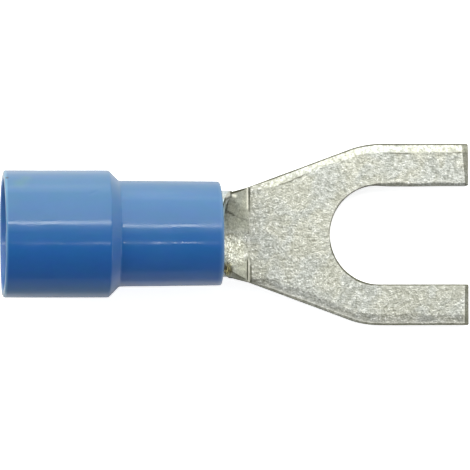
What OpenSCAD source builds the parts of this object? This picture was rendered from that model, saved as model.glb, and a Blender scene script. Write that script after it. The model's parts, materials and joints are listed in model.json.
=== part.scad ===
// Fork crimp terminal for an M4 stud and 1.5 to 2.5 mm2 wire, with a stepped insulating sleeve.
// The metal is one stamped sheet: a flat forked tongue, a short trough-shaped neck and a barrel
// that is rolled round until its edges meet in a seam on top. The sleeve is pressed over the barrel.
// Origin: centre of the slot's round end, on the underside of the tongue.
// +X runs to the tips of the tines, +Z up towards the barrel's seam.

/* [Sheet] */
// Thickness of the sheet
sheet_t = 0.75; // [0.6:0.05:0.95]

/* [Fork] */
// Width of the slot, which is also the diameter of its round end
slot_w = 4.36; // [3.2:0.02:5.3]
// Width over both tines
fork_w = 8; // [7.4:0.1:10]
// From the slot's centre to the tips of the tines
tine_l = 3.96; // [3:0.02:6]
// From the slot's centre back to the crease at the root of the tongue
palm_l = 5.73; // [4.8:0.01:8]
// Width of the tongue at its root
root_w = 4.2; // [4:0.05:5]
// Angle of each flared side of the palm
flare_angle = 20.4; // [17:0.2:35]
// Radius of the outline between a flared side and the tine
side_r = 4.2; // [2:0.1:6]

/* [Coined edges] */
// Width of the bevel along the outer top edges
side_bevel_w = 0.4; // [0.1:0.05:0.6]
// Depth of that bevel
side_bevel_h = 0.15; // [0.05:0.01:0.3]
// Width of the bevel at the tips of the tines
tip_bevel_w = 0.2; // [0.05:0.05:0.5]
// Depth of that bevel
tip_bevel_h = 0.15; // [0.05:0.01:0.3]
// Width and depth of the break along the slot's top edge
slot_break = 0.08; // [0.02:0.01:0.15]
// Length of each crease mark, inwards from the side of the tongue
crease_l = 0.95; // [0.4:0.05:1.5]
// Width of the crease marks
crease_w = 0.16; // [0.06:0.02:0.3]
// Depth of the crease marks at the side of the tongue
crease_h = 0.07; // [0.03:0.01:0.15]

/* [Neck] */
// Length of the trough between the barrel and the crease
neck_l = 0.86; // [0.6:0.02:1.6]
// How far up each side of the barrel the trough reaches, in degrees from its lowest line
neck_angle = 78; // [60:1:84]

/* [Barrel] */
// Diameter of the bore that takes the wire
bore_d = 2.25; // [1.7:0.05:2.6]
// Length of the barrel
barrel_l = 5.31; // [4.6:0.01:7]
// How far the front end of the barrel leans back
lean_angle = 18; // [0:1:30]
// Number of serrations in the bore
serration_n = 3; // [1:1:4]
// Width of each serration
serration_w = 0.3; // [0.2:0.05:0.5]
// Depth of each serration
serration_h = 0.08; // [0.04:0.01:0.12]
// Distance between the serrations
serration_pitch = 0.9; // [0.6:0.05:1.1]
// Bevel round the wire's entry to the bore
entry_bevel = 0.25; // [0.1:0.05:0.35]
// Break round the outer rear edge of the barrel
rear_break = 0.1; // [0.05:0.01:0.2]
// Width of the seam's groove
seam_w = 0.16; // [0.06:0.02:0.3]
// Depth of the seam's groove
seam_h = 0.07; // [0.03:0.01:0.15]

/* [Sleeve] */
// Length of bare barrel in front of the sleeve
bare_l = 0.51; // [0.2:0.01:1.2]
// Length of the narrow part of the sleeve
narrow_l = 4.45; // [3.8:0.05:6]
// Length of the outer cone between the narrow and the wide part
cone_l = 0.45; // [0.2:0.05:1]
// Length of the wide part
wide_l = 4.55; // [3.6:0.05:8]
// Wall at the front end of the narrow part
nose_wall = 0.39; // [0.35:0.01:0.7]
// Wall of the narrow part where it meets the cone
waist_wall = 0.43; // [0.38:0.01:0.8]
// Diameter of the mouth that takes the wire's own insulation
mouth_d = 4.85; // [4.3:0.05:6]
// Wall round the mouth
mouth_wall = 0.35; // [0.25:0.01:0.8]
// How far the throat behind the barrel stands clear of the bore's bevelled entry
throat_lap = 0.1; // [0.02:0.01:0.2]
// Length of the throat
throat_l = 0.2; // [0.1:0.05:0.4]
// Length of the funnel between the mouth and the throat
funnel_l = 1.2; // [0.8:0.05:1.8]
// Rounding of the outer front edge
nose_r = 0.22; // [0.1:0.01:0.25]
// Rounding of the corners of the outer cone
cone_r = 0.15; // [0.05:0.01:0.25]
// Rounding of the outer edge of the mouth
lip_r = 0.12; // [0.05:0.01:0.15]
// Bevel of the inner edges
inner_bevel = 0.08; // [0.04:0.01:0.1]

/* [Clearances] */
// Radial clearance between barrel and sleeve
sleeve_fit = 0.01; // [0.005:0.005:0.05]
// Gap between the rear end of the barrel and the step in the sleeve
seat_gap = 0.02; // [0.01:0.01:0.1]

/* [Hidden] */

bore_r = bore_d / 2;
barrel_r = bore_r + sheet_t;
bend_r = bore_r + sheet_t / 2;
axis_z = barrel_r;
neck_x = -(palm_l + neck_l);
barrel_rear_x = neck_x - barrel_l;
corner_x = -palm_l + (fork_w - root_w) / 2 / tan(flare_angle);
corner_run = side_r * tan(flare_angle / 2);
lean_z = sheet_t + bore_r * (1 - cos(neck_angle));
nose_x = neck_x - bare_l;
waist_x = nose_x - narrow_l;
wide_x = waist_x - cone_l;
mouth_x = wide_x - wide_l;
step_x = barrel_rear_x - seat_gap;
fit_r = barrel_r + sleeve_fit;
nose_r_out = fit_r + nose_wall;
waist_r_out = fit_r + waist_wall;
mouth_r = mouth_d / 2;
wide_r_out = mouth_r + mouth_wall;
throat_r = bore_r + entry_bevel + throat_lap;

// Past every face that a cut passes through
over = 1;
// Stations along the neck, and steps across it
neck_stations = 10;
neck_steps = 24;
// The neck's ends run this far into the barrel and the tongue
neck_root = 0.1;
// and lie this far inside their faces
neck_seat = 0.004;
// A straight bevel runs this far past the start of the rounded one that it meets
bevel_lap = 0.02;
round_fn = 96;

// A point of the neck in its cross-section, as [y, z]. s runs from 0 at the barrel to 1 at the
// crease, u from -1 to 1 across the sheet, and h is the distance below its middle surface. The
// section is an arc whose curvature falls evenly to nothing, and its outer edge follows the flare.
function neck_half_w(s) = (1 - s) * barrel_r * sin(neck_angle) + s * root_w / 2 - neck_seat;
function neck_point(s, u, h) =
    s >= 1
        ? [u * neck_half_w(1), sheet_t / 2 - h]
        : let (r = bend_r / (1 - s), a = u * asin(neck_half_w(s) / (r + sheet_t / 2)))
          [(r + h) * sin(a), r + sheet_t / 2 - (r + h) * cos(a)];

// One closed loop round the sheet at a station: along its underside and back along its upper side
function neck_loop(x, s) =
    let (h = sheet_t / 2 - neck_seat)
    [
        for (i = [0:neck_steps])
            let (p = neck_point(s, 2 * i / neck_steps - 1, h)) [x, p[0], p[1]],
        for (i = [neck_steps:-1:0])
            let (p = neck_point(s, 2 * i / neck_steps - 1, -h)) [x, p[0], p[1]]
    ];

// Points on an arc round [cx, cy], for the rounded corners of a turned profile
function arc(cx, cy, r, from, to, steps = 6) =
    [for (i = [0:steps]) let (a = from + (to - from) * i / steps) [cx + r * cos(a), cy + r * sin(a)]];

// Trough between barrel and tongue, lofted through its loops
module neck() {
    loops = concat(
        [neck_loop(neck_x - neck_root, 0)],
        [for (k = [0:neck_stations]) neck_loop(neck_x + neck_l * k / neck_stations, k / neck_stations)],
        [neck_loop(-palm_l + neck_root, 1)]
    );
    n = 2 * (neck_steps + 1);
    last = len(loops) - 1;
    faces = concat(
        [for (k = [0:last - 1]) for (i = [0:n - 1]) let (a = k * n + i, b = k * n + (i + 1) % n)
            each [[a, b + n, b], [a, a + n, b + n]]],
        [for (i = [0:neck_steps - 1]) each [[i, i + 1, n - 1 - i], [i + 1, n - 2 - i, n - 1 - i]]],
        [for (i = [0:neck_steps - 1]) let (e = last * n)
            each [[e + i, e + n - 1 - i, e + i + 1], [e + i + 1, e + n - 1 - i, e + n - 2 - i]]]
    );
    polyhedron([for (loop = loops) each loop], faces, convexity = 4);
}

// One side of the tongue from its root to its tip, with a chord across the rounded corner
function side_line(side) = [
    [-palm_l, side * root_w / 2],
    [corner_x - corner_run * cos(flare_angle), side * (fork_w / 2 - corner_run * sin(flare_angle))],
    [corner_x + corner_run, side * fork_w / 2],
    [tine_l, side * fork_w / 2]
];

// Outline of the tongue seen from above
module tongue_outline() {
    difference() {
        union() {
            polygon(concat(side_line(-1), [for (i = [3:-1:0]) side_line(1)[i]]));
            for (side = [-1, 1]) intersection() {
                translate([corner_x + corner_run, side * (fork_w / 2 - side_r)])
                    circle(r = side_r, $fn = round_fn);
                translate([corner_x + corner_run, side * fork_w / 2]) rotate(side * flare_angle / 2)
                    translate([-fork_w, side > 0 ? -corner_run : corner_run - fork_w])
                        square([2 * fork_w, fork_w]);
            }
        }
        circle(d = slot_w, $fn = round_fn);
        translate([0, -slot_w / 2]) square([tine_l + over, slot_w]);
    }
}

// Triangle that bevels a top edge: w wide and h deep, with the edge at its origin and metal on -x
module bevel_section(w, h) {
    k = over / w;
    polygon([[-w, 0], [-w, over], [over, over], [over, -h - h * k], [0, -h]]);
}

// Bevels along the outer top edges of the palm and the tines
module side_bevels() {
    flare_run = (corner_x + palm_l) / cos(flare_angle) - corner_run;
    tine_run = tine_l - corner_x - corner_run;
    for (side = [0, 1]) mirror([0, side, 0]) {
        translate([-palm_l, root_w / 2, sheet_t]) rotate([0, 0, flare_angle])
            translate([-over, 0, 0]) rotate([90, 0, 90]) linear_extrude(over + flare_run + bevel_lap)
                bevel_section(side_bevel_w, side_bevel_h);
        translate([corner_x + corner_run - bevel_lap, fork_w / 2, sheet_t])
            rotate([90, 0, 90]) linear_extrude(bevel_lap + tine_run + over)
                bevel_section(side_bevel_w, side_bevel_h);
        translate([corner_x + corner_run, fork_w / 2 - side_r, sheet_t]) rotate([0, 0, 90])
            rotate_extrude(angle = flare_angle, $fn = round_fn)
                translate([side_r, 0]) bevel_section(side_bevel_w, side_bevel_h);
    }
}

// Bevels at the tips and breaks along the slot
module tip_and_slot_bevels() {
    translate([tine_l, fork_w, sheet_t]) rotate([90, 0, 0])
        linear_extrude(2 * fork_w) bevel_section(tip_bevel_w, tip_bevel_h);
    translate([0, 0, sheet_t - slot_break])
        cylinder(h = 2 * slot_break, r1 = slot_w / 2, r2 = slot_w / 2 + 2 * slot_break, $fn = round_fn);
    for (side = [0, 1]) mirror([0, side, 0])
        translate([0, slot_w / 2, sheet_t]) rotate([90, 0, 90]) linear_extrude(tine_l + over)
            mirror([1, 0, 0]) bevel_section(slot_break, slot_break);
}

// Crease marks across the root of the tongue, fading inwards from each side
module crease_marks() {
    for (side = [0, 1]) mirror([0, side, 0])
        translate([-palm_l, root_w / 2, sheet_t - crease_h]) rotate([-atan(crease_h / crease_l), 0, 0])
            translate([0, over, 0]) rotate([90, 0, 0]) linear_extrude(crease_l + 2 * over)
                polygon([[0, 0], [crease_w, 2 * crease_h], [-crease_w, 2 * crease_h]]);
}

module tongue() {
    difference() {
        linear_extrude(sheet_t) tongue_outline();
        side_bevels();
        tip_and_slot_bevels();
    }
}

// Rolled barrel: bevelled wire entry, serrated bore, leaning front end, and a seam on top
module barrel() {
    serration_x0 = barrel_l / 2 - (serration_n - 1) * serration_pitch / 2;
    difference() {
        translate([barrel_rear_x, 0, axis_z]) rotate([0, 90, 0]) rotate_extrude($fn = round_fn)
            polygon(concat(
                [[bore_r + entry_bevel, 0], [barrel_r - rear_break, 0], [barrel_r, rear_break],
                 [barrel_r, barrel_l], [bore_r, barrel_l]],
                [for (i = [serration_n - 1:-1:0]) let (x = serration_x0 + i * serration_pitch)
                    each [[bore_r, x + serration_w / 2], [bore_r + serration_h, x + serration_w / 4],
                          [bore_r + serration_h, x - serration_w / 4], [bore_r, x - serration_w / 2]]],
                [[bore_r, entry_bevel]]
            ));
        translate([neck_x, -barrel_r - over, lean_z]) rotate([0, -lean_angle, 0])
            cube(2 * (barrel_r + over));
        for (z = [axis_z + barrel_r, axis_z + bore_r])
            let (s = z > axis_z + bore_r ? 1 : -1)
                translate([barrel_rear_x - over, 0, z - s * seam_h]) rotate([90, 0, 90])
                    linear_extrude(barrel_l + 2 * over)
                        polygon([[0, 0], [seam_w, 2 * s * seam_h], [-seam_w, 2 * s * seam_h]]);
    }
}

module fork_terminal() {
    color([0.76, 0.77, 0.73])
        difference() {
            union() {
                tongue();
                neck();
                barrel();
            }
            crease_marks();
        }
}

// Moulded sleeve, turned about the barrel's axis: narrow over the barrel, wide round the wire's
// insulation, with a funnel inside that ends in a step behind the barrel
module insulating_sleeve() {
    cone_angle = atan((wide_r_out - waist_r_out) / cone_l);
    cone_run = cone_r * tan(cone_angle / 2);
    front = nose_x - mouth_x;
    step = step_x - mouth_x;
    waist = waist_x - mouth_x;
    color([0.16, 0.38, 0.68])
        translate([mouth_x, 0, axis_z]) rotate([0, 90, 0]) rotate_extrude($fn = round_fn)
            polygon(concat(
                [[mouth_r, inner_bevel], [mouth_r + inner_bevel, 0]],
                arc(wide_r_out - lip_r, lip_r, lip_r, -90, 0),
                arc(wide_r_out - cone_r, wide_l - cone_run, cone_r, 0, cone_angle),
                arc(waist_r_out + cone_r, waist + cone_run, cone_r, 180 + cone_angle, 180),
                arc(nose_r_out - nose_r, front - nose_r, nose_r, 0, 90),
                [[fit_r + inner_bevel, front], [fit_r, front - inner_bevel], [fit_r, step],
                 [throat_r, step], [throat_r, step - throat_l],
                 [mouth_r, step - throat_l - funnel_l]]
            ));
}

fork_terminal();
insulating_sleeve();
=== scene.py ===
"""A fork crimp terminal: tin-plated copper with a blue insulating sleeve, seen from above on white.

Lengths are in millimetres in the shape functions and become metres where a mesh is made.
The frame is the terminal's own: +X to the tips of the fork, +Z up to the barrel's seam, with the
origin in the centre of the slot's round end, on the underside of the tongue.
"""

import json
import math

import bmesh
import bpy
import numpy as np
from mathutils import Euler, Matrix, Vector


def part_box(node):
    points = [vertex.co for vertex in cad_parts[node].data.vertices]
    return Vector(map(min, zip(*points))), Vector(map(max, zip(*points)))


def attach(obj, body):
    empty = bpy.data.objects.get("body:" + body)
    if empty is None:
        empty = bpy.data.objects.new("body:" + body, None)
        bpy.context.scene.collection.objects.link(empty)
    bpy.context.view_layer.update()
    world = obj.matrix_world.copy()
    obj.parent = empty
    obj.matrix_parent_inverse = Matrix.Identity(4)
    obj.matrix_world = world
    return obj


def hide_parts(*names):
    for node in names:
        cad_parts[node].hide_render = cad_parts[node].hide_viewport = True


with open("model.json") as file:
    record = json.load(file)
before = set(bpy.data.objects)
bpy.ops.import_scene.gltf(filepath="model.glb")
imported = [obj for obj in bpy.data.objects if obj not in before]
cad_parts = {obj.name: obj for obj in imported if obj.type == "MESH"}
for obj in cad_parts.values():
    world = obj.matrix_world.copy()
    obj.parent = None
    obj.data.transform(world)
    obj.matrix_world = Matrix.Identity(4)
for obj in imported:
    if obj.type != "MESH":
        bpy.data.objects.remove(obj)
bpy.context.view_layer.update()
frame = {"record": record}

MM = 0.001
PHOTO = 470

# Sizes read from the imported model
mounts = {m["name"]: m for m in frame["record"]["mounts"]}
terminal_low, terminal_high = (np.array(c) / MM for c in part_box("fork_terminal"))
sleeve_low, sleeve_high = (np.array(c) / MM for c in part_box("insulating_sleeve"))
SHEET = mounts["tongue_top"]["pos_m"][2] / MM
SLOT_R = mounts["stud_slot"]["dims"]["r_mm"]
BORE_R = mounts["wire_barrel"]["dims"]["r_mm"]
MOUTH_R = mounts["sleeve_mouth"]["dims"]["r_mm"]
BARREL_R = BORE_R + SHEET
BEND_R = BORE_R + SHEET / 2
TIP_X = terminal_high[0]
REAR_X = terminal_low[0]
HALF_FORK = terminal_high[1]
MOUTH_X = sleeve_low[0]
NOSE_X = sleeve_high[0]
WIDE_R = (sleeve_high[2] - sleeve_low[2]) / 2

# Sizes of the stamped sheet. Where the two sides differ, 1 stands for +Y and -1 for -Y.
ROOT_X = -5.73
NECK_X = -6.59
HALF_ROOT = 2.1
FLARE = math.radians(20.4)
SIDE_R = 4.2
FLANK_LEAN = math.tan(math.radians(42))
FRONT_LEAN = math.tan(math.radians(17))
FRONT_TURN_Z, FRONT_BEND = 1.7, 0.06
BELL_X, BELL_R = -7.29, 1.375
EDGE_W, EDGE_H, EDGE_WAVE = 0.05, 0.03, 0.004
UNDER_BREAK = 0.03
SEAM_W, SEAM_H = 0.08, 0.07
ENTRY_BEVEL, REAR_BREAK = 0.25, 0.1
SERRATIONS = (-10.145, -9.245, -8.345)
SERRATION_W, SERRATION_H = 0.3, 0.08
CREASE_X, CREASE_L, CREASE_W, CREASE_H = -5.74, 0.95, 0.05, 0.05
NECK_SWELL = {1: -0.03, -1: 0.055}
NECK_ROLL = {1: 0.05, -1: 0.28}

# The bevels along the outer edge and at the tips
BEVEL_W = {1: 0.385, -1: 0.445}
BEVEL_H = {1: 0.15, -1: 0.05}
BEVEL_START = 0.45
BEVEL_THIN = {1: 0.045, -1: 0.0}
BEVEL_FALL = (0, 0, 0.01, 0.07, 0.5, 0.84, 0.89, 0.98, 1)
TIP_BEVEL_W = {1: (0.14, 0.3), -1: (0.175, 0.185)}
TIP_BEVEL_H, TIP_CORNER = 0.05, 0.06

# The slot's upper edge, and how far the slot lies off the centre line
SLOT_BREAK = {1: 0.11, -1: 0.07}
SLOT_DROP = {1: 0.6, -1: 1.0}
ROUND_BREAK, ROUND_DROP = 0.065, 0.85
SLOT_ROWS = (0, 0.15, 0.45, 0.8, 1, 1.3, 1.8, 2.3)
SLOT_OFF = {1: -0.012, -1: 0.017}
SLOT_BOW, SLOT_BOW_BACK = 0.035, 0.02
SLOT_CORNER = 0.05

# Where a form or a mask starts along x or y, and the distance over which it eases in
SWELL_STARTS = (-6.94, 0.25)
THIN_FROM, THIN_TO = (-4, 1), (-0.6, -1)
BEHIND_CREASE = (ROOT_X, -0.1)
WALL_FROM = (0.05, 0.3)

# Painted light and shade on the plate: how light the slanting front is painted, and how much
# darker or lighter the other places of the plate are painted
FRONT_LEVEL = {1: 1.05, -1: 1.15}
STEEP_LEVEL = {1: 0.68, -1: 1.0}
PALM_PAINTED_SHADE, TINE_PAINTED_SHADE, CREASE_PAINTED_SHADE, BAND_PAINTED_SHADE = 0.12, 0.04, 0.1, 0.15
TROUGH_PAINTED_SHADE, STRIP_PAINTED_SHADE, WALL_PAINTED_LIGHT = 0.25, 0.3, 0.07
SIDE_PAINTED_LIGHT = 0.045
# The worn spot: its middle and its reach both ways. The line beyond which the plate beside the
# sleeve has a painted highlight: y at an x, and slope
WORN_SPOT = ((-6.81, 1.53), (0.21, 0.22))
HIGHLIGHT_LINE = (1.533, -6.92, 0.46)

# How dark the bevels at the tips are, a painted shade in the cut metal's colour, and how much of
# that colour lies along the flare on the edge and on the wall
TIP_SHADE = {1: 0.62, -1: 0.7}
CUT_ON_FLARE = {1: 1, -1: 0.72}
WALL_CUT = {1: 1, -1: 0.75}
# The rows along the edges: shares of the bevel's width; how much of the dark cut metal's colour lies
# on the outer edge, the neck, the slot's round end and its straight edge; the levels there of a dark
# line along the bevel and of painted highlights along the edge, the tips and the slot; how much
# painted light the slot's edge gets; and where the bevel is painted darker, from and to, and by how much
EDGES = {
    1: {"bevel_rows": [1, 1, 0.98, 0.9, 0.5, 0.18, 0.13, 0.03, 0],
        "outer_cut": [1, 1, 1],
        "neck_cut": [0, 0.3, 0.9, 1, 1, 1, 1, 1, 1],
        "round_cut": [0.85, 0.8, 0.55, 0.3, 0],
        "slot_cut": [0.3, 0.3, 0.28, 0.18, 0],
        "bevel_line": 0.75, "edge_line": 0.0, "tip_line": 0.4, "slot_line": [0.15, 0.3],
        "slot_lit": 0.35,
        "bevel_dull": ((ROOT_X, 0.2), (-0.8, -1), 0.14)},
    -1: {"bevel_rows": [1, 1, 0.98, 0.9, 0.5, 0.21, 0.165, 0.045, 0],
         "outer_cut": [0.75, 0.8, 0.85],
         "neck_cut": [0, 0.4, 0.9, 0.45, 0.2, 0.2, 0.25, 0.6, 1],
         "round_cut": [1, 1, 1, 1, 0.3],
         "slot_cut": [1, 1, 0.9, 0.5, 0],
         "bevel_line": 0.42, "edge_line": 0.5, "tip_line": 0.6, "slot_line": [0.3, 0.1],
         "slot_lit": 0.0,
         "bevel_dull": ((ROOT_X + 0.3, 0.6), (TIP_X + 1, -1), 0.06)},
}
# Painted highlight and shade lines beside the crease, where the faces of its groove catch the light
# and fall into shade: side, place along x, half width, the y where they start, how far past the
# edge they end, and level
CREASE_LIGHT_AND_SHADE = [
    (1, -5.836, 0.036, 1.22, 0.0, 0.85),
    (1, -5.748, 0.024, 1.12, 0.06, -0.7),
    (-1, -5.84, 0.032, 1.22, -0.04, -1.0),
    (-1, -5.76, 0.03, 1.22, 0.06, 1.0),
    (-1, -5.67, 0.034, 1.39, 0.06, -0.9),
]
# Painted glints, and dark lines of painted shade along the fold and the wing's edge: side, points,
# reach and level
GLINTS_AND_SHADE_LINES = [
    (1, [(-6.9, 1.16), (-6.72, 0.98), (-6.45, 0.85)], 0.06, -0.8),
    (1, [(-6.45, 0.85), (-6.1, 0.7), (-5.85, 0.63)], 0.07, -0.35),
    (1, [(-6.54, 1.69), (-6.42, 1.67)], 0.12, 1.0),
    (1, [(-6.97, 1.46), (-6.64, 1.61)], 0.05, -0.7),
    (1, [(-6.64, 1.61), (-6.66, 1.8)], 0.07, -0.5),
    (1, [(-7.0, 1.44), (-6.94, 1.05)], 0.07, -0.6),
    (-1, [(-6.8, 0.13), (-6.72, 0.1)], 0.05, 0.9),
    (-1, [(-6.8, 0.36), (-6.76, 0.38)], 0.05, 0.7),
    (-1, [(-6.8, 0.52), (-6.72, 0.5)], 0.075, 1.0),
    (-1, [(-6.79, 0.8), (-6.75, 0.84)], 0.055, 0.8),
    (-1, [(-6.64, 0.08), (-6.56, 0.12)], 0.035, 0.9),
    (-1, [(-6.35, 0.14), (-6.33, 0.2)], 0.035, 0.9),
    (-1, [(-6.22, 0.33), (-6.17, 0.4)], 0.035, 0.8),
]

# Sizes of the sleeve
NOSE_R_OUT, WAIST_R_OUT = 2.275, 2.315
WAIST_X, WIDE_X = -11.55, -12.0
FIT_R, THROAT_R = 1.885, 1.475
STEP_X, THROAT_X, FUNNEL_X = -11.92, -12.12, -13.32
LIP_ROUND, BEND_ROUND, NOSE_ROUND, INNER_BREAK = 0.09, 0.15, 0.12, 0.08
# How many points go round the sleeve, and how many rows of its section line the mouth
SLEEVE_TURNS, MOUTH_ROWS = 320, 20
# How the moulding strays from a true revolve
NARROW_OVAL, NARROW_OFF = 0.035, 0.02
NOSE_SHORT, NOSE_SKEW, NOSE_SHARPER = 0.02, 0.03, 0.55
MOUTH_SKEW, LIP_WAVE = 0.083, 0.012
# Nicks: place along x, degrees from the top towards +Y, reach both ways, and depth
NICKS = [
    (-12.88, 36.5, 0.09, 0.08, 0.02),
    (-12.78, 38.2, 0.09, 0.08, 0.028),
    (-12.68, 40.0, 0.09, 0.08, 0.02),
    (-13.4, 36.5, 0.3, 0.06, 0.01),
    (-16.45, 58, 0.06, 0.06, 0.03),
]


def smooth(t):
    """Eases 0 to 1 with flat ends: 3 t^2 - 2 t^3, held outside that range."""
    t = np.clip(t, 0.0, 1.0)
    return t * t * (3 - 2 * t)


def eased(t, start, over):
    """0 up to start, easing to 1 a distance of over further on. A negative over runs backwards."""
    return smooth((t - start) / over)


def column(values):
    """A list as a column, one value for each row of a surface."""
    return np.array(values, float)[:, None]


def ripple(x, seed, pitch):
    """A smooth random line along x: values from -1 to 1 at every pitch, joined by eased steps."""
    draws = np.random.default_rng(seed).uniform(-1, 1, 4096)
    at = np.asarray(x) / pitch + 1024
    low = np.floor(at).astype(int)
    k = smooth(at - low)
    return draws[low % 4096] * (1 - k) + draws[(low + 1) % 4096] * k


def ripple2(x, y, seed, pitch):
    """The same over a plane: draws at the corners of square cells, blended by eased steps."""
    draws = np.random.default_rng(seed).uniform(-1, 1, (256, 256))
    ax = np.asarray(x) / pitch + 64
    ay = np.asarray(y) / pitch + 64
    ix = np.floor(ax).astype(int)
    iy = np.floor(ay).astype(int)
    kx = smooth(ax - ix)
    ky = smooth(ay - iy)
    low = draws[ix % 256, iy % 256] * (1 - kx) + draws[(ix + 1) % 256, iy % 256] * kx
    high = draws[ix % 256, (iy + 1) % 256] * (1 - kx) + draws[(ix + 1) % 256, (iy + 1) % 256] * kx
    return low * (1 - ky) + high * ky


def quads_of(index, turned=False):
    """Quads between the neighbours of a 2-D array of vertex numbers."""
    quads = np.stack([index[:-1, :-1], index[:-1, 1:], index[1:, 1:], index[1:, :-1]], -1)
    quads = quads.reshape(-1, 4)
    return quads[:, ::-1] if turned else quads


def linked_mesh(name, mesh, material):
    """An object in the scene that shows a mesh with one material."""
    mesh.materials.append(material)
    shown = bpy.data.objects.new(name, mesh)
    bpy.context.scene.collection.objects.link(shown)
    return shown


def make_piece(name, points, quads, ends, masks, material, slot, node, crease_angle):
    """A mesh object from points in millimetres that stands for a CAD node. Points at one place
    become one, quads that lose a corner by that become triangles or go, and ends are the flat
    faces that close a shape, each a loop of points. Masks are values per point."""
    keys = np.round(points / 2e-5).astype(np.int64)
    _, first, where = np.unique(keys, axis=0, return_index=True, return_inverse=True)
    where = where.reshape(-1)
    faces = where[quads]
    kept = faces != np.roll(faces, -1, axis=1)
    count = kept.sum(1)
    four = faces[count == 4]
    four = four[(four[:, 0] != four[:, 2]) & (four[:, 1] != four[:, 3])]
    three = faces[count == 3][kept[count == 3]].reshape(-1, 3)
    loops = [where[loop] for loop in ends]
    loops = [loop[loop != np.roll(loop, -1)].tolist() for loop in loops]
    mesh = bpy.data.meshes.new(name)
    mesh.from_pydata((points[first] * MM).tolist(), [], four.tolist() + three.tolist() + loops)
    for key, values in masks.items():
        layer = mesh.attributes.new(key, "FLOAT", "POINT")
        layer.data.foreach_set("value", values[first].astype(np.float32))
    shell = bmesh.new()
    shell.from_mesh(mesh)
    bmesh.ops.recalc_face_normals(shell, faces=shell.faces)
    shell.to_mesh(mesh)
    shell.free()
    mesh.shade_smooth()
    mesh.set_sharp_from_angle(angle=math.radians(crease_angle))
    piece = linked_mesh(name, mesh, material)
    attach(piece, "root")
    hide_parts(node)


# The bent sheet

CORNER_X = ROOT_X + (HALF_FORK - HALF_ROOT) / math.tan(FLARE)
CORNER_RUN = SIDE_R * math.tan(FLARE / 2)
ARC_START = CORNER_X - CORNER_RUN * math.cos(FLARE)
ARC_END = CORNER_X + CORNER_RUN
FRONT_TURN_X = ROOT_X - (FRONT_TURN_Z - SHEET) * FLANK_LEAN
CUT_TOP_X = FRONT_TURN_X - (2 * BARREL_R - FRONT_TURN_Z) * FRONT_LEAN
LIMB = np.linspace(0, 1, 27)[:, None]


def cut_height(x):
    """Height of the sheared front of the barrel: from the crease, on the upper surface, it rises
    along each flank, and then leans back more steeply to the seam. The two slopes are joined by a
    short curve: with d the distance from the turn, (d + sqrt(d^2 + bend^2)) / 2 replaces d."""
    d = FRONT_TURN_X - x
    bend = (d + np.sqrt(d * d + FRONT_BEND**2)) / 2
    flank = np.maximum(ROOT_X - x, 0) / FLANK_LEAN
    return SHEET + flank + bend * (1 / FRONT_LEAN - 1 / FLANK_LEAN)


def bell_radius(x):
    """Radius of the upper surface across the sheet: the bore's in the barrel, a little wider in
    its mouth, then opening like a bell to the crease: r / (1 - 0.8 k^2.2), k from 0 to 1."""
    k = np.clip((x - BELL_X) / (ROOT_X - BELL_X), 0, 1)
    mouth = BORE_R + (BELL_R - BORE_R) * eased(x, BELL_X - 0.3, 0.5)
    return mouth / (1 - 0.8 * k**2.2)


def outer_radius(x):
    """Radius of the lower surface across the sheet: the barrel's, and along the neck its
    curvature falls evenly to almost nothing at the crease."""
    s = np.clip((x - NECK_X) / (ROOT_X - NECK_X), 0, 1)
    return BEND_R / np.maximum(1 - s, 0.002) + SHEET / 2


def edge_y(x, side):
    """Half width in plan: the barrel's radius, the widening neck, the flared side, the arc, the
    tine, and the small round corner at its tip. A slow ripple of about a hundredth of a
    millimetre keeps the sheared edge from being ruled."""
    s = np.clip((x - NECK_X) / (ROOT_X - NECK_X), 0, 1)
    neck = BARREL_R + (HALF_ROOT - BARREL_R) * s
    neck = neck + NECK_SWELL[side] * eased(x, *SWELL_STARTS) * (1 - s)
    flare = HALF_ROOT + (x - ROOT_X) * math.tan(FLARE)
    arc = HALF_FORK - SIDE_R + np.sqrt(np.maximum(SIDE_R**2 - (x - ARC_END) ** 2, 0))
    into = np.clip(x - (TIP_X - TIP_CORNER), 0, TIP_CORNER)
    tine = HALF_FORK - TIP_CORNER + np.sqrt(TIP_CORNER**2 - into**2)
    edge = np.where(x > ROOT_X, flare, neck)
    edge = np.where(x > ARC_START, arc, edge)
    edge = np.where(x > ARC_END, tine, edge)
    return edge - EDGE_WAVE * (1 + ripple(x, 11 + side, 0.9)) * eased(x, NECK_X, 0.5)


def outer_bevel(x, side):
    """Width and depth of the break along the outer top edge: the seam's groove on the barrel, a
    small break on the barrel's front and the neck, and the coined bevel from the crease to the
    tip. The coined one is measured square to the edge, so it widens where the edge runs at a
    slant. It starts narrow at the crease, its inner boundary wavers, and on +Y it is a little
    narrower along the end of the flare."""
    on_arc = (x >= ARC_START) & (x < ARC_END)
    slant = np.where(x < ARC_START, math.cos(FLARE), 1.0)
    slant = np.where(on_arc, np.sqrt(np.maximum(1 - ((ARC_END - x) / SIDE_R) ** 2, 0.1)), slant)
    wide = BEVEL_W[side] * (1 + 0.08 * ripple(x, 21 + side, 0.45) + 0.04 * ripple(x, 31 + side, 0.15))
    wide = wide * (BEVEL_START + (1 - BEVEL_START) * eased(x, ROOT_X, 1.1))
    wide = wide - BEVEL_THIN[side] * eased(x, *THIN_FROM) * eased(x, *THIN_TO)
    back = np.clip((ROOT_X - 0.1 - x) / 0.9, 0, 1)
    roll = NECK_ROLL[side] * back
    k = eased(x, ROOT_X, 0.07)
    w = EDGE_W + roll + (wide / slant - EDGE_W) * k
    h = EDGE_H + 1.3 * roll + (BEVEL_H[side] - EDGE_H) * k
    k = eased(x, CUT_TOP_X, 0.1)
    return SEAM_W + (w - SEAM_W) * k, SEAM_H + (h - SEAM_H) * k


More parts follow.
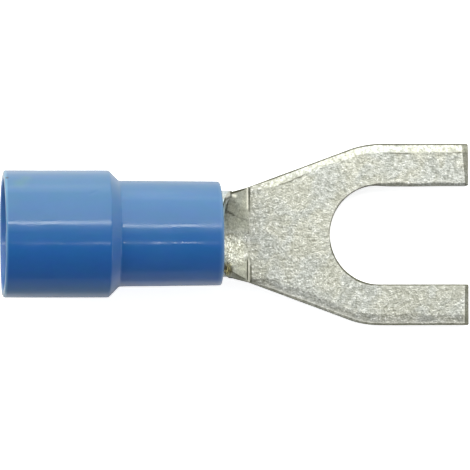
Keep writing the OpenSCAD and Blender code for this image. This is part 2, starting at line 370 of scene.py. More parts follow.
def slot_shift(x, side):
    """How far the slot's edge lies further out on this side than a centred slot's. The slot is
    punched a little off the centre line, towards -Y, and its +Y edge bows inwards along the tine
    and partly back again."""
    bow = SLOT_BOW_BACK * eased(x, 1.4, 1.8) - SLOT_BOW * eased(x, -0.3, 1)
    return (SLOT_OFF[side] + bow * (side > 0)) * eased(x, -SLOT_R, SLOT_R)


def slot_break(x, side):
    """Width of the break along the slot's upper edge and how steeply it drops. The width
    wavers along the tines. At the slot's round end, where the halves meet, both are alike."""
    wide = SLOT_BREAK[side] * (0.55 + 0.45 * eased(x, -0.35, 1) if side > 0 else 1)
    wide = wide * (1 + 0.2 * ripple(x, 61 + side, 0.5) + 0.1 * ripple(x, 63, 0.17))
    own = eased(x, -SLOT_R, 0.25)
    wide = ROUND_BREAK + (wide - ROUND_BREAK) * own
    return wide, ROUND_DROP + (SLOT_DROP[side] - ROUND_DROP) * own


def slot_edge(x, d, side):
    """Distance from the centre line of a line that runs d outside the slot: a circle round the
    slot's round end, then straight along the tine, and nothing behind the slot."""
    r = SLOT_R + d
    into = np.clip(x - (TIP_X - SLOT_CORNER), 0, SLOT_CORNER)
    corner = SLOT_CORNER - np.sqrt(SLOT_CORNER**2 - into**2)
    return np.where(x < 0, np.sqrt(np.maximum(r * r - x * x, 0)), r) + corner + slot_shift(x, side)


def from_slot(x, y, side):
    """Distance of a point of the tongue from the slot's edge."""
    y = y - slot_shift(x, side)
    return np.where(x < 0, np.hypot(x, y) - SLOT_R, y - SLOT_R)


def tip_share(x, y, side):
    """How far a point lies over the bevel at the tip of a tine: 0 where it starts, 1 at the tip.
    It widens from the slot to the outer edge."""
    across = np.clip((y - SLOT_R) / (HALF_FORK - SLOT_R), 0, 1)
    at_slot, at_edge = TIP_BEVEL_W[side]
    return 1 - (TIP_X - x) / (at_slot + (at_edge - at_slot) * across)


def crease_depth(x, y, edge):
    """Depth of the crease mark: a V across the root that fades inwards from the side."""
    fade = np.clip(1.15 - (edge - y) / CREASE_L, 0, 1)
    return CREASE_H * fade * np.clip(1 - np.abs(x - CREASE_X) / CREASE_W, 0, 1)


def serration_depth(x):
    """Depth of the grooves round the bore that grip the wire, with sloping sides."""
    gaps = [np.clip((SERRATION_W / 2 - np.abs(x - c)) / (SERRATION_W / 4), 0, 1) for c in SERRATIONS]
    return SERRATION_H * sum(gaps)


def stations():
    """Stations along x: close at bevels, grooves, creases and round ends, wide between them, and
    none nearer than a few microns to the next."""
    fixed = [REAR_X, CUT_TOP_X, NECK_X, ROOT_X, -SLOT_R, 0.0, TIP_X]
    groove = np.array([-0.17, -0.15, -0.112, -0.075, 0, 0.075, 0.112, 0.15, 0.17])
    grow = np.linspace(0, 1, 12) ** 2
    inner_top = FRONT_TURN_X - (BARREL_R + BORE_R - FRONT_TURN_Z) * FRONT_LEAN
    parts = [
        REAR_X + np.array([0.03, 0.06, 0.1, 0.14, 0.18, 0.22, 0.25, 0.3]),
        *[c + groove for c in SERRATIONS],
        np.linspace(REAR_X + 0.5, CUT_TOP_X - 0.1, 18),
        CUT_TOP_X + 0.42 * grow,
        inner_top + 0.4 * grow,
        np.linspace(inner_top, NECK_X, 14),
        np.linspace(NECK_X, ROOT_X, 40),
        ROOT_X + np.arange(-0.168, 0.15, 0.012),
        np.linspace(ROOT_X + 0.2, -SLOT_R - 0.4, 36),
        -SLOT_R - np.array([0.3, 0.2, 0.15, 0.11, 0.08, 0.06, 0.035, 0.012]),
        -SLOT_R * np.cos(np.radians(np.arange(2, 90, 2.5))),
        np.linspace(0, TIP_X - 0.3, 36),
        TIP_X - np.arange(0.3, 0.11, -0.012),
        TIP_X - np.array([0.1, 0.075, 0.055, 0.035, 0.02, 0.01, 0.003]),
    ]
    x = np.sort(np.concatenate(parts))
    x = x[np.min(np.abs(x[:, None] - np.array(fixed)), axis=1) > 0.0025]
    x = x[np.concatenate([[True], np.diff(x) > 0.004])]
    return np.sort(np.concatenate([x, fixed]))


def near_line(x, y, path, reach):
    """1 on a line through the given points, falling to 0 at a distance of reach from it."""
    best = np.full(np.broadcast(x, y).shape, 9.0)
    for (ax, ay), (bx, by) in zip(path[:-1], path[1:]):
        long = math.hypot(bx - ax, by - ay)
        t = np.clip(((x - ax) * (bx - ax) + (y - ay) * (by - ay)) / long**2, 0, 1)
        best = np.minimum(best, np.hypot(x - ax - t * (bx - ax), y - ay - t * (by - ay)))
    return smooth(1 - best / reach)


def painted_lines(x, y, side, edge):
    """Painted highlights and painted shade: lines beside the crease where the faces of its groove catch
    the light and fall into shade, glints, and dark lines of painted shade along the fold and the
    wing's edge; 1 for painted highlight and -1 for dark."""
    lines = np.zeros(np.broadcast(x, y).shape)
    for line_side, at, half, start, end, level in CREASE_LIGHT_AND_SHADE:
        if line_side == side:
            fade = eased(y, start - 0.25, 0.25) * smooth((edge - y + end) / 0.06)
            lines += level * fade * smooth(1.4 - np.abs(x - at) / half)
    for line_side, path, reach, level in GLINTS_AND_SHADE_LINES:
        if line_side == side:
            lines += level * near_line(x, y, path, reach)
    return lines


def painted_plate_shade(x, y, side, edge, on_front):
    """Painted light and shade on the plate, as a lightness. The palm is painted darker towards the
    crease, the +Y side a little lighter, and the slanting front has painted levels of its own. In
    the trough the +Y wall is painted a little lighter, and the -Y side and a strip beside the sleeve
    on +Y darker. So are the middle of the crease, a band along the edges by the root and, a little,
    the tines."""
    across = side * y
    behind = eased(x, *BEHIND_CREASE)
    trough = behind * (1 - on_front)
    root = 1 - PALM_PAINTED_SHADE * (1 - eased(x, ROOT_X, 2.3))
    shade = (root + (1 - root) * behind) * (1 + SIDE_PAINTED_LIGHT * across / HALF_FORK)
    front = FRONT_LEVEL[side] + (STEEP_LEVEL[side] - FRONT_LEVEL[side]) * eased(x, -6.45, -0.3)
    shade = shade * (1 + (front - 1) * on_front * behind)
    shade = shade * (1 - TROUGH_PAINTED_SHADE * trough * eased(across, 0.25, -0.3))
    shade = shade * (1 + WALL_PAINTED_LIGHT * trough * eased(across, *WALL_FROM))
    shade = shade * (1 - STRIP_PAINTED_SHADE * trough * eased(across, 0.85, 0.12) * eased(x, -6.72, -0.12))
    crease = (1 - on_front) * eased(x, -6.0, 0.15) * eased(x, -5.3, -0.3) * eased(y, 0.9, -0.4)
    shade = shade * (1 - CREASE_PAINTED_SHADE * crease) * (1 - TINE_PAINTED_SHADE * eased(x, -1, 2))
    return shade * (1 - BAND_PAINTED_SHADE * eased(y, edge - 0.5, 0.1) * eased(x, ROOT_X + 1.2, -0.6))


def neck_masks(x, y, side, on_front):
    """Four shares on the neck: worn metal in a round spot on -Y; smeared, matt plate on the front and
    the trough's +Y wall; speckle with painted glints in the rest of the trough; and a painted
    highlight on the plate beside the sleeve on +Y, outside a slanting line."""
    across = side * y
    behind = eased(x, *BEHIND_CREASE)
    trough = behind * (1 - on_front)
    (spot_x, spot_y), (spot_long, spot_wide) = WORN_SPOT
    worn = smooth(1.7 - np.hypot((x - spot_x) / spot_long, (y - spot_y) / spot_wide)) * (side < 0)
    matte = np.maximum(on_front * behind, trough * eased(across, *WALL_FROM))
    speckle = trough * eased(across, 0.15, -0.2) * eased(y, 1.5, -0.2)
    speckle = speckle * eased(x, -7.4, 0.3) * eased(x, -5.92, -0.15) * (1 - 0.35 * eased(x, -6.65, 0.2))
    highlight_y, highlight_x, highlight_slope = HIGHLIGHT_LINE
    highlight_share = eased(y - highlight_slope * (x - highlight_x), highlight_y, 0.05) * eased(x, -6.67, -0.04) * (side > 0)
    return worn, matte, speckle, highlight_share


def upper_finish(x, y, side, edge, on_front, over_tip):
    """The finish of the upper surface, as values per point: the cut metal's dark colour, which on the
    bevels at the tips is painted shade; painted highlights and dark lines; the plate's painted
    light and shade; worn metal; matt plate; and speckle. Its first rows are the slot's break, and
    its last nine the bevel along the outer edge."""
    looks = EDGES[side]
    # On the bevels at the tips the cut metal's colour is painted shade
    sheared = (over_tip > 0.03) * TIP_SHADE[side]
    along = CUT_ON_FLARE[side] + (1 - CUT_ON_FLARE[side]) * eased(x, ARC_START, 1)
    sheared[-3:] = np.maximum(sheared[-3:], (x > CUT_TOP_X) * column(looks["outer_cut"]) * along)
    tine = eased(x, -0.6, 1.2)
    torn = column(looks["round_cut"]) * (1 - tine) + column(looks["slot_cut"]) * tine
    sheared[:5] = np.maximum(sheared[:5], torn * (x > -SLOT_R - 0.001))
    back = eased(x, ROOT_X - 0.1, -0.2) * (x >= CUT_TOP_X)
    sheared[-9:] = sheared[-9:] * (1 - back) + back * column(looks["neck_cut"])

    worn, matte, speckle, highlight_share = neck_masks(x, y, side, on_front)
    sheared = sheared * (1 - 0.8 * highlight_share)
    # Painted highlights at 1 and dark lines at -1: by the crease and the wing, glints, the highlight beside
    # the sleeve, a dark line along the bevel, and highlights along the edge, the tips and the slot
    marks = np.clip(painted_lines(x, y, side, edge) + 0.6 * highlight_share, -1, 1)
    flat = over_tip <= 0
    drawn = eased(ripple(x, 71 + side, 0.6), -0.4, 1) * eased(x, ROOT_X + 0.2, 0.2) * flat[-9:-5]
    marks[-9:-5] -= looks["bevel_line"] * drawn * column([0.4, 1, 1, 0.3])
    marks[-4] += looks["edge_line"] * eased(x, ROOT_X + 0.3, 0.3)
    over_edge = smooth(1 - np.abs(over_tip + 0.17) / 0.2)
    marks += looks["tip_line"] * over_edge * (0.7 + 0.3 * ripple(side * y, 91, 0.3))
    light = eased(x, -SLOT_R, 0.3) * (0.7 + 0.3 * ripple(x, 81, 0.4)) * flat[5:7]
    marks[5:7] += light * column(looks["slot_line"])

    # The plate's painted light and shade, with painted light on the slot's break along the tines and
    # painted shade on the bevel
    shade = painted_plate_shade(x, y, side, edge, on_front)
    shade[:4] = shade[:4] * (1 + looks["slot_lit"] * tine)
    darker_from, darker_to, dull = looks["bevel_dull"]
    shade[-8:] = shade[-8:] * (1 - dull * eased(x, *darker_from) * eased(x, *darker_to))
    return {"sheared": sheared, "marks": marks, "shade": shade, "worn": worn, "matte": matte,
            "speckle": speckle}


def upper_rows(x, side):
    """The upper surface from the centre line or the slot to the outer edge, as y and z, and its
    finish. Behind the crease it is the lower of two surfaces: the bell-shaped trough, whose
    section is an arc that stands on the sheet's upper face, and the slanting front. Where the
    front is higher than the trough's axis, the arc runs on round the bore as far as the front, or
    to the seam. On the tongue it is flat, less the slot's break, the bevels and the crease marks."""
    edge = edge_y(x, side)
    width, depth = outer_bevel(x, side)
    top = np.minimum(cut_height(x), 2 * BARREL_R - SEAM_H)
    r = bell_radius(x)
    extra = serration_depth(x) + np.clip(ENTRY_BEVEL - (x - REAR_X), 0, 1)
    turn = np.arccos(np.clip(1 - (top - SHEET) / r, -1, 1))
    reach = np.where(x < BELL_X, math.pi, turn)
    foot = top - depth
    outer_y = np.sqrt(np.maximum(BARREL_R**2 - (foot - BARREL_R) ** 2, 0))
    rim = np.where(foot > BARREL_R, outer_y + (edge - BARREL_R), edge)
    rim = np.where(x < CUT_TOP_X, SEAM_W, rim)

    chamfer, drop = slot_break(x, side)
    inner = np.stack([slot_edge(x, d * chamfer, side) for d in SLOT_ROWS])
    k = eased(x, ROOT_X - 0.9, 1.6)
    arm = np.maximum(r * np.sin(np.minimum(reach, math.pi / 2)), 0.3)
    fold = arm * (1 - k) + (inner[-1] + 0.62 * (edge - width - inner[-1])) * k
    bore_y = (r + extra) * np.sin(LIMB * reach)
    bore_z = SHEET + r - (r + extra) * np.cos(LIMB * reach)
    full = reach > math.pi / 2
    closed = x < CUT_TOP_X
    share = np.linspace(0, 1, 15)[:, None]
    start = np.where(full, bore_y[-1], fold)
    front_y = np.where(closed, 0, start + share * (rim - width - 0.07 - start))
    front_z = np.where(closed, bore_z[-1] + share * (top - bore_z[-1]), top)
    over = column(EDGES[side]["bevel_rows"])
    lead = np.where(closed, 0, column([0.045, 0.02] + [0] * 7))
    middle_y = np.where(full, bore_y, inner[-1] + LIMB * (fold - inner[-1]))
    y = np.concatenate([inner[:-1], middle_y, front_y, rim - over * width - lead])

    trough = np.where(y < r * 0.999, SHEET + r - np.sqrt(np.maximum(r * r - y * y, 0)), 99)
    soft = np.minimum(0.05, 0.12 * (top - SHEET))
    gap = np.minimum(trough - top, 9)
    folded = top + gap / 2 - np.sqrt(gap**2 / 4 + soft**2)
    bored = np.concatenate([bore_z[:1] + 0 * inner[:-1], bore_z, front_z, top + 0 * over])
    z = np.where(x < ROOT_X, np.where(full, bored, folded), SHEET)
    coined = np.concatenate([0 * y[:-9], column(BEVEL_FALL) * depth])
    broken = drop * np.clip(chamfer - from_slot(x, y, side), 0, chamfer) * (x > -SLOT_R - 0.2)
    over_tip = tip_share(x, y, side)
    tip = TIP_BEVEL_H * np.clip(over_tip, 0, 1)
    z = z - np.where(closed, 0, np.maximum.reduce([coined, broken, tip]))
    z = z - crease_depth(x, y, edge)
    z[-9:] = np.where(closed, top + (1 - over) * SEAM_H, z[-9:])
    on_front = (x < ROOT_X) & (trough > top) & ~closed
    return y, z, upper_finish(x, y, side, edge, on_front, over_tip)


def lower_rows(x, side, top_z):
    """The outer wall from the upper edge down, and the lower surface back to the centre line or
    the slot, as y and z. Behind the crease the lower surface is an arc that stands on z = 0, up
    to where it meets the plan's outline, and the wall goes on upwards from there. Along the barrel
    the wall is the upper quarter of the tube."""
    edge = edge_y(x, side)
    r = outer_radius(x)
    lift = np.clip(REAR_BREAK - (x - REAR_X), 0, 1)
    reach = np.arcsin(np.clip(edge / r, 0, 1))
    foot_z = np.where(x < ROOT_X, r * (1 - np.cos(reach)), UNDER_BREAK)
    reach = np.where(x < NECK_X, math.pi / 2, reach)
    foot_z = np.where(x < NECK_X, BARREL_R, foot_z)
    share = np.linspace(0, 1, 10)[1:-1, None]
    turn = np.arccos(np.clip((BARREL_R - top_z) / BARREL_R, -1, 1))
    turn = turn + share * (math.pi / 2 - turn)
    tube_y = (BARREL_R - lift) * np.sin(turn)
    tube_z = BARREL_R - (BARREL_R - lift) * np.cos(turn)
    wall_z = top_z + share * (foot_z - top_z)
    bulge = np.where(wall_z > BARREL_R, BARREL_R - np.sqrt(np.maximum(
        BARREL_R**2 - (wall_z - BARREL_R) ** 2, 0)), 0)
    torn = 0.01 * eased(share, 0.4, 0.3) * eased(x, ROOT_X, 0.5)
    wall_y = edge - bulge - torn
    wall_y = np.where(x < NECK_X, tube_y, wall_y)
    wall_z = np.where(x < NECK_X, tube_z, wall_z)

    across = np.linspace(1, 0, 25)[:, None]
    inner = np.stack([slot_edge(x, d, side) for d in (0.05, 0.02, 0.0)])
    flat_y = inner[0] + across * (edge - 0.04 - inner[0])
    arc_y = (r - lift) * np.sin(across * reach)
    arc_z = r - (r - lift) * np.cos(across * reach)
    flat_foot = np.stack([edge, edge - 0.012])
    foot_y = np.where(x < ROOT_X, np.stack([arc_y[0], arc_y[0]]), flat_foot)
    foot_zs = np.where(x < ROOT_X, np.stack([arc_z[0], arc_z[0]]), column([UNDER_BREAK, 0.008]))
    low_y = np.where(x < ROOT_X, arc_y, flat_y)
    low_z = np.where(x < ROOT_X, arc_z, 0 * flat_y)
    slot_y = np.where(x < ROOT_X, 0, inner[1:])
    slot_z = np.where(x > -SLOT_R - 0.2, column([0.006, UNDER_BREAK]), 0)
    slot_z = np.where(from_slot(x, slot_y, side) < 0.05, slot_z, 0)
    slot_z = np.where(x < ROOT_X, arc_z[-1], slot_z)
    y = np.concatenate([wall_y, foot_y, low_y, slot_y])
    z = np.concatenate([wall_z, foot_zs, low_z, slot_z])
    return y, z


def terminal_sheet():
    """The whole terminal as one folded sheet. Each half is a section carried along x, from the
    centre line or the slot over the upper surface, the outer wall and the lower surface, and the
    slot's wall closes it along the tines. A face that lies on the centre plane is left out,
    because the two halves are one metal there, or touch in the seam. The walls are bare cut metal,
    a little less so along the -Y flare."""
    x = stations()
    slot = int(np.argmin(np.abs(x + SLOT_R)))
    points, quads, ends = [], [], []
    masks = {}
    count = 0
    for side in (1, -1):
        upper_y, upper_z, on_top = upper_rows(x, side)
        lower_y, lower_z = lower_rows(x, side, upper_z[-1])
        y = np.concatenate([upper_y, lower_y])
        z = np.concatenate([upper_z, lower_z])
        y = np.where(np.abs(y) < 1e-6, 0, y)
        sway = 0.005 * eased(x, NECK_X, 1.5) * ripple2(x, side * y, 41, 1.3)
        grid = np.stack(np.broadcast_arrays(x, side * y, z + sway), -1)
        index = count + np.arange(y.size).reshape(y.shape)
        faces = quads_of(index, side < 0)
        faces = np.concatenate([faces, quads_of(index[[-1, 0]][:, slot:], side < 0)])
        flat = np.concatenate([np.zeros(count), y.reshape(-1)])
        quads.append(faces[(np.abs(flat[faces]) > 1e-6).any(1)])
        ends += [index[:, 0].tolist(), index[:, -1].tolist()]
        wall = WALL_CUT[side] + (1 - WALL_CUT[side]) * eased(x, ARC_START, 1)
        for key, upper in on_top.items():
            whole = np.full_like(y, float(key == "shade"))
            whole[:len(upper_y)] = upper
            if key == "sheared":
                whole[len(upper_y):len(upper_y) + 10] = (x > NECK_X) * wall
                whole[-3:] = x > -SLOT_R - 0.001
            masks.setdefault(key, []).append(whole.reshape(-1))
        points.append(grid.reshape(-1, 3))
        count += y.size
    masks = {key: np.concatenate(values) for key, values in masks.items()}
    return np.concatenate(points), np.concatenate(quads), ends, masks


# The sleeve

def arc_rows(cx, cr, radius, start, end, steps):
    """Rows on an arc round (cx, cr), from one angle to another in degrees from the +x axis."""
    a = np.radians(np.linspace(start, end, steps))
    return [(cx + radius * math.cos(t), cr + radius * math.sin(t)) for t in a]


def line_rows(a, b, steps):
    """Rows evenly between two rows, without the ends."""
    k = np.linspace(0, 1, steps + 2)[1:-1]
    return [(a[0] + (b[0] - a[0]) * t, a[1] + (b[1] - a[1]) * t) for t in k]


def sleeve_profile():
    """The sleeve's section as a closed line of (x, r), from the mouth's lip over the outside to
    the nose, and back through the bore, the throat and the funnel."""
    cone = math.atan((WIDE_R - WAIST_R_OUT) / (WAIST_X - WIDE_X))
    lip, bend, nose = LIP_ROUND, BEND_ROUND, NOSE_ROUND
    run = bend * math.tan(cone / 2)
    outer = (arc_rows(MOUTH_X + lip, WIDE_R - lip, lip, 180, 90, 8)
             + line_rows((MOUTH_X + lip, WIDE_R), (WIDE_X - run, WIDE_R), 46)
             + arc_rows(WIDE_X - run, WIDE_R - bend, bend, 90, 90 - math.degrees(cone), 8)
             + arc_rows(WAIST_X + run, WAIST_R_OUT + bend, bend, 270 - math.degrees(cone), 270, 8)
             + line_rows((WAIST_X + run, WAIST_R_OUT), (NOSE_X - nose, NOSE_R_OUT), 34)
             + arc_rows(NOSE_X - nose, NOSE_R_OUT - nose, nose, 90, 0, 9))
    inner = ([(NOSE_X, FIT_R + INNER_BREAK), (NOSE_X - INNER_BREAK, FIT_R)]
             + line_rows((NOSE_X - INNER_BREAK, FIT_R), (STEP_X, FIT_R), 6)
             + [(STEP_X, FIT_R), (STEP_X, THROAT_R), (THROAT_X, THROAT_R)]
             + line_rows((THROAT_X, THROAT_R), (FUNNEL_X, MOUTH_R), 6)
             + [(FUNNEL_X, MOUTH_R)]
             + line_rows((FUNNEL_X, MOUTH_R), (MOUTH_X + INNER_BREAK, MOUTH_R), 14)
             + arc_rows(MOUTH_X + INNER_BREAK, MOUTH_R + INNER_BREAK, INNER_BREAK, 270, 180, 5))
    return np.array(outer + inner)


def sleeve_shell():
    """The sleeve's section turned about the barrel's axis: at an angle a from the top towards +Y,
    a point lies at y = r sin a and z = axis + r cos a. The narrow part is slightly oval and off
    the axis, the nose and the mouth are cut a little askew, and the mouth's lip is uneven. The
    outside keeps shallow moulding sinks and a few nicks, all of them inwards. A mask marks the
    inside of the mouth."""
    rows = sleeve_profile()
    angle = np.arange(SLEEVE_TURNS) * 2 * math.pi / SLEEVE_TURNS
    x = np.repeat(rows[:, :1], SLEEVE_TURNS, axis=1)
    r = np.repeat(rows[:, 1:], SLEEVE_TURNS, axis=1)
    a = np.repeat(angle[None, :], len(rows), axis=0)
    outside = eased(r, FIT_R + 0.3, 0.05) * (x > MOUTH_X + 0.02)
    outside = outside * ((x < FUNNEL_X) * (r > MOUTH_R + 0.1) + (x >= FUNNEL_X))
    sink = 0.003 * (1 + ripple2(x, a * 2.5, 51, 2.1)) + 0.002 * (1 + ripple2(x, a * 2.5, 52, 0.6))
    for nick_x, nick_a, long_x, long_a, deep in NICKS:
        d = np.hypot((x - nick_x) / long_x, (a - math.radians(nick_a)) * WIDE_R / long_a)
        sink = sink + deep * (1 - smooth(d))
    r = r - outside * sink
    narrow = eased(x, WAIST_X - 0.3, 0.6) * (r > FIT_R + 0.2)
    r = r - NARROW_OVAL * narrow * np.sin(2 * a)
    corner = (x > NOSE_X - NOSE_ROUND - 0.001) * (r > NOSE_R_OUT - NOSE_ROUND - 0.04)
    drawn_in = np.maximum(NOSE_R_OUT - 0.01 - r, 0) * np.clip(-np.sin(a), 0, 1)
    r = r + NOSE_SHARPER * corner * drawn_in
    x = x - (NOSE_SHORT + NOSE_SKEW * np.sin(a)) * eased(x, NOSE_X - 0.4, 0.4)
    x = x - MOUTH_SKEW * (1 - np.cos(a)) / 2 * eased(x, MOUTH_X + 2, -2)
    x = x + LIP_WAVE * eased(x, MOUTH_X + 0.25, -0.25) * (1 + ripple(a * 2.5, 53, 1.1))
    points = np.stack([x, NARROW_OFF * narrow + r * np.sin(a), BARREL_R + r * np.cos(a)], -1)
    index = np.arange(x.size).reshape(x.shape)
    index = np.concatenate([index, index[:1]])
    index = np.concatenate([index, index[:, :1]], axis=1)
    inside = np.zeros_like(x)
    inside[-MOUTH_ROWS:] = 1
    return points.reshape(-1, 3), quads_of(index), [], {"inside": inside.reshape(-1)}


# Finishes

def new_group(name, inputs, outputs):
    """A shader node group with named float, colour or vector sockets and their default values."""
    tree = bpy.data.node_groups.new(name, "ShaderNodeTree")
    kinds = {"f": "NodeSocketFloat", "c": "NodeSocketColor", "v": "NodeSocketVector"}
    for label, kind, value in inputs:
        socket = tree.interface.new_socket(label, in_out="INPUT", socket_type=kinds[kind])
        if value is not None:
            socket.default_value = value
    for label, kind in outputs:
        tree.interface.new_socket(label, in_out="OUTPUT", socket_type=kinds[kind])
    return tree, tree.nodes.new("NodeGroupInput"), tree.nodes.new("NodeGroupOutput")


def connect(tree, node, values):
    """Puts values or links on a node's inputs."""
    for key, value in values.items():
        if isinstance(value, bpy.types.NodeSocket):
            tree.links.new(value, node.inputs[key])
        else:
            node.inputs[key].default_value = value


def add(tree, kind, values=None, **settings):
    """A node with its settings, and with values or links on its inputs."""
    node = tree.nodes.new(kind)
    for key, value in settings.items():
        setattr(node, key, value)
    connect(tree, node, values or {})
    return node


def maths(tree, operation, a, b=0.0, c=0.0, clamp=False):
    """One sum of two or three numbers."""
    return add(tree, "ShaderNodeMath", {0: a, 1: b, 2: c}, operation=operation,
               use_clamp=clamp).outputs[0]


def times(tree, a, b, clamp=False):
    """The product of two numbers, held between 0 and 1 where clamp is set."""
    return maths(tree, "MULTIPLY", a, b, clamp=clamp)


def between(tree, value, low, high, out_low=0.0, out_high=1.0):
    """A value's place between two marks, eased, as another range."""
    node = add(tree, "ShaderNodeMapRange", {"Value": value, "From Min": low, "From Max": high,
                                            "To Min": out_low, "To Max": out_high},
               interpolation_type="SMOOTHSTEP")
    return node.outputs["Result"]


def blend_colours(tree, share, a, b, mode="MIX"):
    """Mixes two colours by a share. A colour is a link, or its red, green and blue."""
    a, b = [(*colour, 1) if isinstance(colour, tuple) else colour for colour in (a, b)]
    node = add(tree, "ShaderNodeMix", {0: share, 6: a, 7: b}, data_type="RGBA", blend_type=mode)
    return node.outputs[2]


def noise(tree, place, scale, detail, distortion=0.0):
    """Smooth noise from 0 to 1, with about as many swells to the metre as its scale says."""
    return add(tree, "ShaderNodeTexNoise", {"Vector": place, "Scale": scale, "Detail": detail,
                                            "Distortion": distortion}).outputs["Fac"]


def axes(tree, place):
    """X, Y and Z of a place."""
    return add(tree, "ShaderNodeSeparateXYZ", {0: place}).outputs[:]


def stretched(tree, place, scale, turn=0.0):
    """A place turned about Z by an angle in degrees and scaled, so that a texture is drawn out."""
    return add(tree, "ShaderNodeMapping", {"Vector": place, "Rotation": (0, 0, math.radians(turn)),
                                           "Scale": scale}).outputs["Vector"]


def placed(tree, group, **values):
    """The outputs of a group that is placed with values or links on its inputs."""
    return add(tree, "ShaderNodeGroup", values, node_tree=group).outputs


def kept_value(tree, name):
    """A value that the mesh keeps at its points."""
    return add(tree, "ShaderNodeAttribute", attribute_name=name).outputs["Fac"]


# The two tints between which grain strays
COOL_GREY, WARM_GREY = (0.975, 0.993, 1.02), (1.01, 1.005, 0.965)


def make_grain():
    """Fine grain: two sizes of noise, small pits and thin ridges, as a height, as a mask of light
    and dark, as glints along the ridges, and as a colour that strays a little from grey."""
    tree, source, result = new_group(
        "surface_grain",
        [("Vector", "v", None), ("Fine", "f", 9000.0), ("Coarse", "f", 2500.0), ("Pitting", "f", 0.5),
         ("Contrast", "f", 1.0), ("Sparkle", "f", 0.0)],
        [("Height", "f"), ("Mask", "f"), ("Glint", "f"), ("Tint", "c")])
    place, fine_scale, coarse_scale, pitting, contrast, sparkle = source.outputs[:6]
    coarse = noise(tree, place, coarse_scale, 2.0)
    both = maths(tree, "ADD", noise(tree, place, fine_scale, 1.0), coarse)
    cells = add(tree, "ShaderNodeTexVoronoi", {"Vector": place, "Scale": coarse_scale})
    pits = times(tree, between(tree, cells.outputs["Distance"], 0.05, 0.3, 1.0, 0.0), pitting)
    wide = noise(tree, place, times(tree, coarse_scale, 0.22), 2.0, 1.0)
    worms = noise(tree, place, times(tree, coarse_scale, 0.75), 1.0, 1.6)
    ridge = maths(tree, "ABSOLUTE", maths(tree, "SUBTRACT", worms, 0.5))
    ridge = times(tree, between(tree, ridge, 0.035, 0.008), between(tree, coarse, 0.48, 0.62))
    strays = maths(tree, "SUBTRACT", maths(tree, "ADD", both, times(tree, wide, 0.35)), 1.175)
    tone = noise(tree, place, times(tree, coarse_scale, 0.13), 2.0, 0.8)
    connect(tree, result, {
        "Height": maths(tree, "MULTIPLY_ADD", ridge, 0.25, maths(tree, "SUBTRACT", both, pits)),
        "Mask": maths(tree, "MULTIPLY_ADD", strays, contrast, 0.5, clamp=True),
        "Glint": times(tree, ridge, sparkle),
        "Tint": blend_colours(tree, between(tree, tone, 0.38, 0.62), COOL_GREY, WARM_GREY),
    })
    return tree


def make_smudges():
    """Wide faint smudges: slow noise above a threshold."""
    tree, source, result = new_group(
        "handling_smudges", [("Vector", "v", None), ("Scale", "f", 300.0), ("Amount", "f", 0.5)],
        [("Mask", "f")])
    place, scale, amount = source.outputs[:3]
    slow = noise(tree, place, scale, 4.0, 0.6)
    connect(tree, result, {"Mask": times(tree, between(tree, slow, 0.45, 0.72), amount)})
    return tree


def empty_material(name):
    """A material without nodes, its tree, and its Object coordinates."""
    material = bpy.data.materials.new(name)
    material.use_nodes = True
    tree = material.node_tree
    tree.nodes.clear()
    return material, tree, tree.nodes.new("ShaderNodeTexCoord").outputs["Object"]


def principled(tree):
    """A Principled shader that gives the material its surface."""
    shader = tree.nodes.new("ShaderNodeBsdfPrincipled")
    add(tree, "ShaderNodeOutputMaterial", {"Surface": shader.outputs["BSDF"]})
    return shader


# Colours of the metal
PLATE_DARK, PLATE_LIGHT = (0.355, 0.358, 0.315), (0.78, 0.785, 0.745)
SMUDGED, SMEARED = (0.53, 0.54, 0.48), (0.62, 0.63, 0.56)
GLINTS, PAINTED_HIGHLIGHT = (1.0, 1.0, 0.97), (1.0, 0.99, 0.93)
SPECKLE_SHADE_AND_TINT, SPECKLE_DARK, SPECKLE_GLINT = (0.91, 0.905, 0.84), (0.25, 0.24, 0.17), (1.0, 1.0, 0.93)
DARK_LINES, CUT_METAL = (0.13, 0.13, 0.10), (0.14, 0.14, 0.10)
RUST_DARK, RUST_LIGHT = (0.12, 0.11, 0.07), (0.62, 0.58, 0.30)
NOSE_REFLECTION, CLOSE_REFLECTION = (0.95, 1.0, 1.06), (0.8, 1.0, 1.15)
GRAIN_TURN = -50


def plate_colour(tree, rough, dull, smeared):
    """The tin plate: light and dark grain whose tint strays, faint smudges, smeared places, the
    painted light and shade that the mesh keeps, and painted glints where it isn't smeared."""
    colour = blend_colours(tree, rough["Mask"], PLATE_DARK, PLATE_LIGHT)
    colour = blend_colours(tree, 1.0, colour, rough["Tint"], "MULTIPLY")
    colour = blend_colours(tree, dull, colour, SMUDGED)
    colour = blend_colours(tree, times(tree, smeared, 0.5), colour, SMEARED)
    level = kept_value(tree, "shade")
    level = add(tree, "ShaderNodeCombineColor", {0: level, 1: level, 2: level}).outputs[0]
    colour = blend_colours(tree, 1.0, colour, level, "MULTIPLY")
    glint = times(tree, rough["Glint"], maths(tree, "SUBTRACT", 1.0, smeared))
    return blend_colours(tree, glint, colour, GLINTS)


def speckled(tree, colour, place):
    """Lays the trough's speckle over a colour: a slight painted shade with a yellow tint, pale spots
    that are painted glints, and dark spots. It is drawn out along a slant.
    """
    speckle = kept_value(tree, "speckle")
    spots = noise(tree, stretched(tree, place, (1.0, 0.65, 1.0), GRAIN_TURN), 15000.0, 1.0, 0.4)
    highlight_share = times(tree, between(tree, spots, 0.52, 0.63, 0.0, 0.7), speckle)
    deep = times(tree, between(tree, spots, 0.46, 0.38, 0.0, 0.5), speckle)
    colour = blend_colours(tree, speckle, colour, SPECKLE_SHADE_AND_TINT, "MULTIPLY")
    colour = blend_colours(tree, highlight_share, colour, SPECKLE_GLINT)
    return blend_colours(tree, deep, colour, SPECKLE_DARK)


